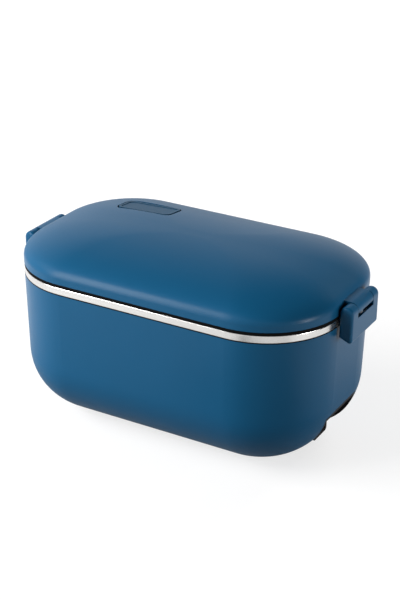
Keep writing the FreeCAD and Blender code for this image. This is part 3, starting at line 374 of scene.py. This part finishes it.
def braided_sleeve(name, rgb):
    """Woven sleeve of the leads."""
    tree = material_tree(name)
    weave = [tree.node("ShaderNodeTexWave", {"wave_type": "BANDS", "bands_direction": "DIAGONAL"}, {
        "Vector": tree.stretched(way), "Scale": 1 / (6 * MM), "Distortion": 0.4})
        for way in ((1, 1, 1), (-1, 1, 1))]
    weave = [tree.node("ShaderNodeRGBToBW", {}, {"Color": one}) for one in weave]
    strands = weave[0].maximum(weave[1])
    return tree.surface({
        "Base Color": tree.mix(strands, opaque(rgb, 0.6), opaque(rgb, 1.1)),
        "Roughness": 0.8 - strands * 0.2,
        "Normal": tree.bump(strands, 0.05 * MM, tree.normal()),
    })


def dress(material, *names):
    for name in names:
        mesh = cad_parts[name].data
        mesh.materials.clear()
        mesh.materials.append(material)


# Mesh helpers
def new_piece(name, bm, material, body, slot, *replaced):
    mesh = bpy.data.meshes.new(name)
    bmesh.ops.recalc_face_normals(bm, faces=bm.faces)
    bm.to_mesh(mesh)
    bm.free()
    mesh.materials.append(material)
    mesh.shade_smooth()
    mesh.set_sharp_from_angle(angle=SHARP_ANGLE)
    piece = bpy.data.objects.new(name, mesh)
    bpy.context.scene.collection.objects.link(piece)
    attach(piece, body)
    if replaced:
        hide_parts(*replaced)


def join_rings(bm, rings, closed=False):
    """Quads between neighbouring rings of the same count."""
    pairs = list(zip(rings, rings[1:]))
    if closed:
        pairs.append((rings[-1], rings[0]))
    for near, far in pairs:
        for i in range(len(near)):
            bm.faces.new((near[i - 1], near[i], far[i], far[i - 1]))


def circle_ring(bm, place, radius, height, steps):
    angles = [2 * math.pi * i / steps for i in range(steps)]
    points = [Vector((radius * math.cos(a), radius * math.sin(a), height)) for a in angles]
    return [bm.verts.new(place @ point) for point in points]


def lathe(bm, place, profile, steps=48):
    """Ring turned from a closed profile of radii and heights."""
    rings = [circle_ring(bm, place, radius, height, steps) for radius, height in profile]
    join_rings(bm, rings, closed=True)


def corner_arc(centre_radius, centre_height, radius, start, steps=4):
    """Quarter of a rounding in a turned profile."""
    angles = [math.radians(start + 90 * i / steps) for i in range(steps + 1)]
    return [(centre_radius + radius * math.cos(a), centre_height + radius * math.sin(a)) for a in angles]


def four_spots(low, high, inset):
    """Places of four round pieces from the box round them all."""
    near, far = low + Vector((inset, inset, 0)), high - Vector((inset, inset, 0))
    return [Vector((x, y, low.z)) for x in (near.x, far.x) for y in (near.y, far.y)]


def cross_corners(reach, half):
    arm = ((reach, -half), (reach, half), (half, half))
    return [Matrix.Rotation(turn * math.pi / 2, 2) @ Vector(corner) for turn in range(4) for corner in arm]


def rounded_outline(half_length, half_width, radius, arc_steps):
    """Points of a rectangle with round corners, anticlockwise."""
    points = []
    for turn, (x, y) in enumerate(((1, 1), (-1, 1), (-1, -1), (1, -1))):
        centre = Vector((x * (half_length - radius), y * (half_width - radius)))
        for step in range(arc_steps + 1):
            a = math.pi / 2 * (turn + step / arc_steps)
            points.append(centre + radius * Vector((math.cos(a), math.sin(a))))
    return points


# Pieces and finishes, one operator each
class LUNCHBOX_OT_shells(bpy.types.Operator):
    """Satin blue plastic on the housing, the lid, the clips and the steam flap"""
    bl_idname = "lunchbox.shells"
    bl_label = "Blue Shells"

    def execute(self, context):
        plastic = settings().plastic
        blue = moulded_plastic("blue_plastic", plastic.blue, plastic.roughness, plastic.specular)
        dress(blue, "outer_housing", "lid_shell", "clip_right", "clip_left", "clip_right_snap_lip",
              "clip_left_snap_lip")
        flap = moulded_plastic("flap_plastic", plastic.flap, roughness=0.46, specular=plastic.specular)
        dress(flap, "steam_flap")
        return {"FINISHED"}


class LUNCHBOX_OT_liners(bpy.types.Operator):
    """Pale grey plastic on the liners of the base and the lid"""
    bl_idname = "lunchbox.liners"
    bl_label = "Liners"

    def execute(self, context):
        pale = moulded_plastic("pale_plastic", settings().plastic.pale, roughness=0.45)
        dress(pale, "base_liner", "lid_liner")
        return {"FINISHED"}


class LUNCHBOX_OT_inlet(bpy.types.Operator):
    """Black plastic on the inlet and the bottom cover, nickel on the inlet's pins"""
    bl_idname = "lunchbox.inlet"
    bl_label = "Inlet and Cover"

    def execute(self, context):
        black = moulded_plastic("black_plastic", settings().plastic.black, roughness=0.5, specular=0.3)
        dress(black, "inlet_pocket", "inlet_socket", "bottom_cover")
        dress(plated_metal("nickel_pins", settings().metal.nickel, roughness=0.3), "inlet_pins")
        return {"FINISHED"}


class LUNCHBOX_OT_pot(bpy.types.Operator):
    """Stainless steel on the pot, polished on its rim and brushed on its walls"""
    bl_idname = "lunchbox.pot"
    bl_label = "Steel Pot"

    def execute(self, context):
        metal = settings().metal
        rim_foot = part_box("steel_pot")[1].z - metal.rim
        steel = brushed_steel("stainless_steel", metal.steel, metal.satin_and_shade, rim_foot, metal.brushing)
        dress(steel, "steel_pot")
        return {"FINISHED"}


class LUNCHBOX_OT_heater(bpy.types.Operator):
    """Aluminium on the heating plate and its controls, a woven sleeve on the leads"""
    bl_idname = "lunchbox.heater"
    bl_label = "Heater"

    def execute(self, context):
        metal = settings().metal
        dress(machined_aluminium("machined_aluminium", metal.aluminium), "heating_plate")
        cast = plated_metal("cast_aluminium", metal.aluminium, roughness=0.42)
        dress(cast, "heating_element", "thermostat", "thermal_fuse")
        sleeve = braided_sleeve("lead_sleeve", settings().rubber.sleeve)
        dress(sleeve, "live_lead", "thermostat_lead", "fuse_lead", "neutral_lead")
        return {"FINISHED"}


class LUNCHBOX_OT_hardware(bpy.types.Operator):
    """Plated steel on the hinge pins, the screws and the heater's strap and clip"""
    bl_idname = "lunchbox.hardware"
    bl_label = "Pins, Screws and Strap"

    def execute(self, context):
        zinc = plated_metal("plated_steel", settings().metal.zinc, roughness=0.34)
        dress(zinc, "clip_pin_right", "clip_pin_left", "steam_flap_pin", "heater_strap", "fuse_clip",
              "strap_screws", "inlet_screws")
        screws = settings().screws
        low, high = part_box("cover_screws")
        bm = bmesh.new()
        for spot in four_spots(low, high, screws.head_radius):
            self.add_screw(bm, Matrix.Translation(spot), screws, high.z - low.z)
        new_piece("cross_screws", bm, zinc, "base", "steel_hardware", "cover_screws")
        return {"FINISHED"}

    @staticmethod
    def add_screw(bm, place, screws, reach):
        """Screw with its head's face at the place and its point above it."""
        core = screws.shank_radius - screws.thread_depth
        turns = int((reach - screws.head_height) / screws.pitch) - 1
        profile = [(screws.head_radius * 0.8, 0), (screws.head_radius * 0.95, screws.head_height * 0.15),
                   (screws.head_radius, screws.head_height * 0.4), (screws.head_radius, screws.head_height)]
        for turn in range(turns):
            height = screws.head_height + turn * screws.pitch
            profile += [(core, height), (screws.shank_radius, height + screws.pitch / 2)]
        profile += [(core, screws.head_height + turns * screws.pitch), (core * 0.2, reach)]
        rings = [circle_ring(bm, place, radius, height, steps=32) for radius, height in profile]
        join_rings(bm, rings)
        bm.faces.new(rings[-1])
        corners = cross_corners(screws.recess_reach, screws.recess_half)
        mouth = [bm.verts.new(place @ corner.to_3d()) for corner in corners]
        deep = Vector((0, 0, screws.recess_depth))
        floor = [bm.verts.new(place @ (corner.to_3d() * 0.7 + deep)) for corner in corners]
        join_rings(bm, [mouth, floor])
        bm.faces.new(floor)
        loops = [
            bm.edges.get((loop[i - 1], loop[i]))
            for loop in (rings[0], mouth) for i in range(len(loop))]
        bmesh.ops.triangle_fill(bm, edges=loops, use_beauty=True)


class LUNCHBOX_OT_seals(bpy.types.Operator):
    """Silicone on the gasket, the seat ring, the feet, the seals and the steam tube; the seat ring and the
    gasket's lip are dark and paint the shade lines in the seams by the rim
    """
    bl_idname = "lunchbox.seals"
    bl_label = "Seals"

    # Inset from the rim's outer face and height above the rim's top, in millimetres: a thin dark lip drawn
    # out to the rim's face to paint the shade line in the seam, the block in the lid's groove and two ribs
    # that press on the rim
    GASKET = (
        (0.02, -0.68), (0.20, 1.50), (0.40, 1.68), (3.30, 1.68), (3.45, 2.95), (7.70, 2.95), (7.75, 1.20),
        (6.90, 0.55), (6.60, 0.05), (6.00, 0.05), (5.70, 0.60), (4.40, 0.70), (4.00, 0.05), (3.40, 0.05),
        (3.00, 0.45), (1.60, 0.45), (1.20, 0.05), (0.80, -0.02), (0.45, -0.20),
    )
    # Dark ring under the steel rim that laps over the edge of the housing's shoulder, which paints the
    # shade line in the seam under the rim
    SEAT_SHADE = (
        (-0.05, -6.10), (-0.05, -5.45), (0.07, -5.33), (1.00, -5.33), (1.00, -5.78), (0.20, -5.78),
        (0.05, -6.10),
    )

    def execute(self, context):
        rubber = settings().rubber
        dark = silicone("dark_silicone", rubber.dark, roughness=0.75, specular=0.05)
        self.make_ring("gasket_ring", self.GASKET, dark, "lid", "lid_gasket")
        self.make_ring("seat_shade_ring", self.SEAT_SHADE, dark, "base")
        self.make_feet(dark)
        milky = silicone("milky_silicone", rubber.milky, roughness=0.45, specular=0.5, milky=0.3)
        dress(milky, "plate_seal", "steam_seal", "steam_tube")
        return {"FINISHED"}

    @staticmethod
    def make_ring(name, section, material, body, *replaced):
        """Ring that follows the steel rim's plan."""
        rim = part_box("steel_pot")[1]
        corner = settings().rubber.corner
        bm = bmesh.new()
        rings = []
        for inset, height in section:
            inward = inset * MM
            outline = rounded_outline(rim.x - inward, rim.y - inward, corner - inward, arc_steps=24)
            rings.append([bm.verts.new((point.x, point.y, rim.z + height * MM)) for point in outline])
        join_rings(bm, rings, closed=True)
        new_piece(name, bm, material, body, "dark_silicone", *replaced)

    @staticmethod
    def make_feet(material):
        """Four rings with rounded lower edges."""
        rubber = settings().rubber
        low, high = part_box("rubber_feet")
        outer, bore, rounding = rubber.foot_radius, rubber.foot_bore, rubber.foot_round
        profile = [(bore, high.z - low.z)]
        profile += corner_arc(bore + rounding, rounding, rounding, start=180)
        profile += corner_arc(outer - rounding, rounding, rounding, start=270)
        profile += [(outer, high.z - low.z)]
        bm = bmesh.new()
        for spot in four_spots(low, high, outer):
            lathe(bm, Matrix.Translation(spot), profile)
        new_piece("ring_feet", bm, material, "base", "dark_silicone", "rubber_feet")


class LUNCHBOX_OT_stage(bpy.types.Operator):
    """Pale floor, soft studio light and the camera"""
    bl_idname = "lunchbox.stage"
    bl_label = "Studio"

    # name, azimuth, elevation, distance, width, height, power in watts, whether it shows in gloss
    SOFTBOXES = (
        ("key_softbox", -60, 28, 1.3, 0.8, 0.5, 18, False),
        ("left_strip", -33, 17, 1.1, 0.18, 0.86, 8, True),
        ("right_strip", 84, 3, 1.0, 0.20, 0.26, 2.6, True),
        ("right_softbox", 112, 6, 1.2, 0.5, 0.3, 3.2, False),
        ("back_softbox", 172, 24, 1.4, 0.8, 0.5, 13, False),
    )

    # Up and away from the white wall, which stands highest at the front left
    WALL_TILT = (0.55, 0.30, 1.0)

    FLOOR_RADIUS = 6.0

    # Dark card: turn round the box, distance from its middle, size, height, grey in gloss and colour
    CARD_TURN = math.radians(38)
    CARD_DISTANCE = 0.195
    CARD_SIZE = (0.25, 0.18)
    CARD_HEIGHT = 0.5 * MM
    CARD_GREY = 0.3
    CARD_COLOUR = (0.02, 0.02, 0.02)

    def execute(self, context):
        self.make_floor()
        self.make_card()
        self.make_world()
        for softbox in self.SOFTBOXES:
            self.make_softbox(*softbox)
        self.make_camera()
        context.scene.view_settings.view_transform = "Standard"
        return {"FINISHED"}

    @staticmethod
    def seen(tree):
        """Where the background is seen straight, and where it is seen in metal or glass."""
        straight, glossy, through = (
            tree.node("ShaderNodeLightPath", output=name)
            for name in ("Is Camera Ray", "Is Glossy Ray", "Is Transmission Ray"))
        return straight, glossy.maximum(through)

    @staticmethod
    def direction(azimuth, elevation):
        return Vector((math.sin(azimuth) * math.cos(elevation),
                       -math.cos(azimuth) * math.cos(elevation), math.sin(elevation)))

    def make_floor(self):
        """Floor that whitens away from the box, with a brightness of its own as metal shows it."""
        stage = settings().stage
        tree = material_tree("floor")
        plain = tree.node("ShaderNodeBsdfDiffuse", {}, {"Color": opaque(stage.floor)})
        straight, mirrored = self.seen(tree)
        beside = self.beside(tree)
        # Each fade runs between two distances from the box, in metres
        # Painted shade in gloss: metal shows the floor dark next to the box, white a little way off and
        # grey far away. As seen, the white added to the floor grows away from the box.
        in_metal = beside.faded(0.0, 0.16) * (1.0 - beside.faded(0.28, 0.7) * 0.7)
        in_metal = (in_metal * 0.9 + 0.1) * stage.floor_glint
        in_view = beside.faded(0.1, 0.8) * (1 - stage.floor_lift) + stage.floor_lift
        lift = tree.node("ShaderNodeEmission", {}, {"Strength": straight * in_view + mirrored * in_metal})
        both = tree.node("ShaderNodeAddShader", {}, {0: plain, 1: lift})
        tree.node("ShaderNodeOutputMaterial", {}, {"Surface": both})
        bm = bmesh.new()
        bmesh.ops.create_circle(bm, cap_ends=True, radius=self.FLOOR_RADIUS, segments=64)
        self.stage_piece("floor", bm, tree.owner)

    @staticmethod
    def beside(tree):
        """Distance over the floor from the box's plan."""
        corner = settings().rubber.corner
        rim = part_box("steel_pot")[1]
        inner = (rim.x - corner, rim.y - corner, 0)
        place = tree.node("ShaderNodeVectorMath", {"operation": "ABSOLUTE"}, {0: tree.place()})
        place = tree.node("ShaderNodeVectorMath", {"operation": "SUBTRACT"}, {0: place, 1: inner})
        place = tree.node("ShaderNodeVectorMath", {"operation": "MAXIMUM"}, {0: place, 1: (0, 0, 0)})
        return tree.node("ShaderNodeVectorMath", {"operation": "LENGTH"}, {0: place}, "Value") - corner

    def make_card(self):
        """Dark card on the floor before the near corner, which shows only in gloss and as less bounce."""
        tree = material_tree("dark_card")
        black = tree.node("ShaderNodeBsdfDiffuse", {}, {"Color": opaque(self.CARD_COLOUR)})
        mirrored = self.seen(tree)[1]
        grey = tree.node("ShaderNodeEmission", {}, {"Strength": mirrored * self.CARD_GREY})
        above = tree.node("ShaderNodeAddShader", {}, {0: black, 1: grey})
        clear = tree.node("ShaderNodeBsdfTransparent")
        below = tree.node("ShaderNodeNewGeometry", output="Backfacing")
        both = tree.node("ShaderNodeMixShader", {}, {0: below, 1: above, 2: clear})
        tree.node("ShaderNodeOutputMaterial", {}, {"Surface": both})
        turn = Matrix.Rotation(self.CARD_TURN, 4, "Z")
        place = turn @ Matrix.Translation((0, -self.CARD_DISTANCE, self.CARD_HEIGHT))
        place = place @ Matrix.Diagonal((*self.CARD_SIZE, 1, 1))
        bm = bmesh.new()
        bmesh.ops.create_grid(bm, x_segments=1, y_segments=1, size=0.5, matrix=place)
        card = self.stage_piece("dark_card", bm, tree.owner)
        card.visible_camera = False
        card.visible_shadow = False

    @staticmethod
    def stage_piece(name, bm, material):
        mesh = bpy.data.meshes.new(name)
        bm.to_mesh(mesh)
        bm.free()
        mesh.materials.append(material)
        piece = bpy.data.objects.new(name, mesh)
        bpy.context.scene.collection.objects.link(piece)
        return piece

    def make_world(self):
        """White as it is seen, dim as it lights the box, and a white wall under a dark ceiling in gloss."""
        stage = settings().stage
        world = bpy.data.worlds.new("studio")
        bpy.context.scene.world = world
        tree = NodeTree(world)
        straight, mirrored = self.seen(tree)
        way = tree.node("ShaderNodeTexCoord", output="Generated")
        up = tree.dot(way, self.WALL_TILT)
        walls = 1.0 - up.faded(0.25, 0.8) * (1 - stage.ceiling)
        strength = straight * (1.0 - stage.room) + mirrored * (walls - stage.room) + stage.room
        light = tree.node("ShaderNodeBackground", {}, {"Color": (1, 1, 1, 1), "Strength": strength})
        tree.node("ShaderNodeOutputWorld", {}, {"Surface": light})

    def make_softbox(self, name, azimuth, elevation, distance, width, height, power, glossy):
        lamp = bpy.data.lights.new(name, "AREA")
        lamp.shape = "RECTANGLE"
        lamp.size = width
        lamp.size_y = height
        lamp.energy = power
        softbox = bpy.data.objects.new(name, lamp)
        bpy.context.scene.collection.objects.link(softbox)
        towards = self.direction(math.radians(azimuth), math.radians(elevation))
        softbox.location = Vector(settings().stage.aim) + towards * distance
        softbox.rotation_euler = towards.to_track_quat("Z", "Y").to_euler()
        softbox.visible_glossy = glossy

    def make_camera(self):
        stage = settings().stage
        back = self.direction(stage.azimuth, stage.elevation)
        right = Vector((math.cos(stage.azimuth), math.sin(stage.azimuth), 0))
        pose = Matrix((right, back.cross(right), back)).transposed() @ Matrix.Rotation(stage.roll, 3, "Z")
        lens = bpy.data.cameras.new("camera")
        lens.lens = stage.lens
        camera = bpy.data.objects.new("camera", lens)
        camera.matrix_world = Matrix.Translation(Vector(stage.aim) + back * stage.distance) @ pose.to_4x4()
        bpy.context.scene.collection.objects.link(camera)
        bpy.context.scene.camera = camera


class LUNCHBOX_PT_panel(bpy.types.Panel):
    """Finishes and pieces of the lunch box"""
    bl_idname = "LUNCHBOX_PT_panel"
    bl_label = "Lunch Box"
    bl_space_type = "VIEW_3D"
    bl_region_type = "UI"
    bl_category = "Lunch Box"

    def draw(self, context):
        for operator in OPERATORS:
            self.layout.operator(operator.bl_idname)
        for group in ("plastic", "metal", "screws", "rubber", "stage"):
            box = self.layout.box()
            box.label(text=group.title())
            values = getattr(context.scene.lunch_box, group)
            for name in values.__annotations__:
                box.prop(values, name)


OPERATORS = (
    LUNCHBOX_OT_shells, LUNCHBOX_OT_liners, LUNCHBOX_OT_inlet, LUNCHBOX_OT_pot, LUNCHBOX_OT_heater,
    LUNCHBOX_OT_hardware, LUNCHBOX_OT_seals, LUNCHBOX_OT_stage,
)
GROUPS = (PlasticSettings, MetalSettings, ScrewSettings, RubberSettings, StageSettings, LunchBoxSettings)
CLASSES = (*GROUPS, *OPERATORS, LUNCHBOX_PT_panel)


def register():
    for one in CLASSES:
        bpy.utils.register_class(one)
    bpy.types.Scene.lunch_box = PointerProperty(type=LunchBoxSettings)


def unregister():
    del bpy.types.Scene.lunch_box
    for one in reversed(CLASSES):
        bpy.utils.unregister_class(one)


def main():
    register()
    for operator in OPERATORS:
        group, name = operator.bl_idname.split(".")
        getattr(getattr(bpy.ops, group), name)()


if __name__ == "__main__":
    main()
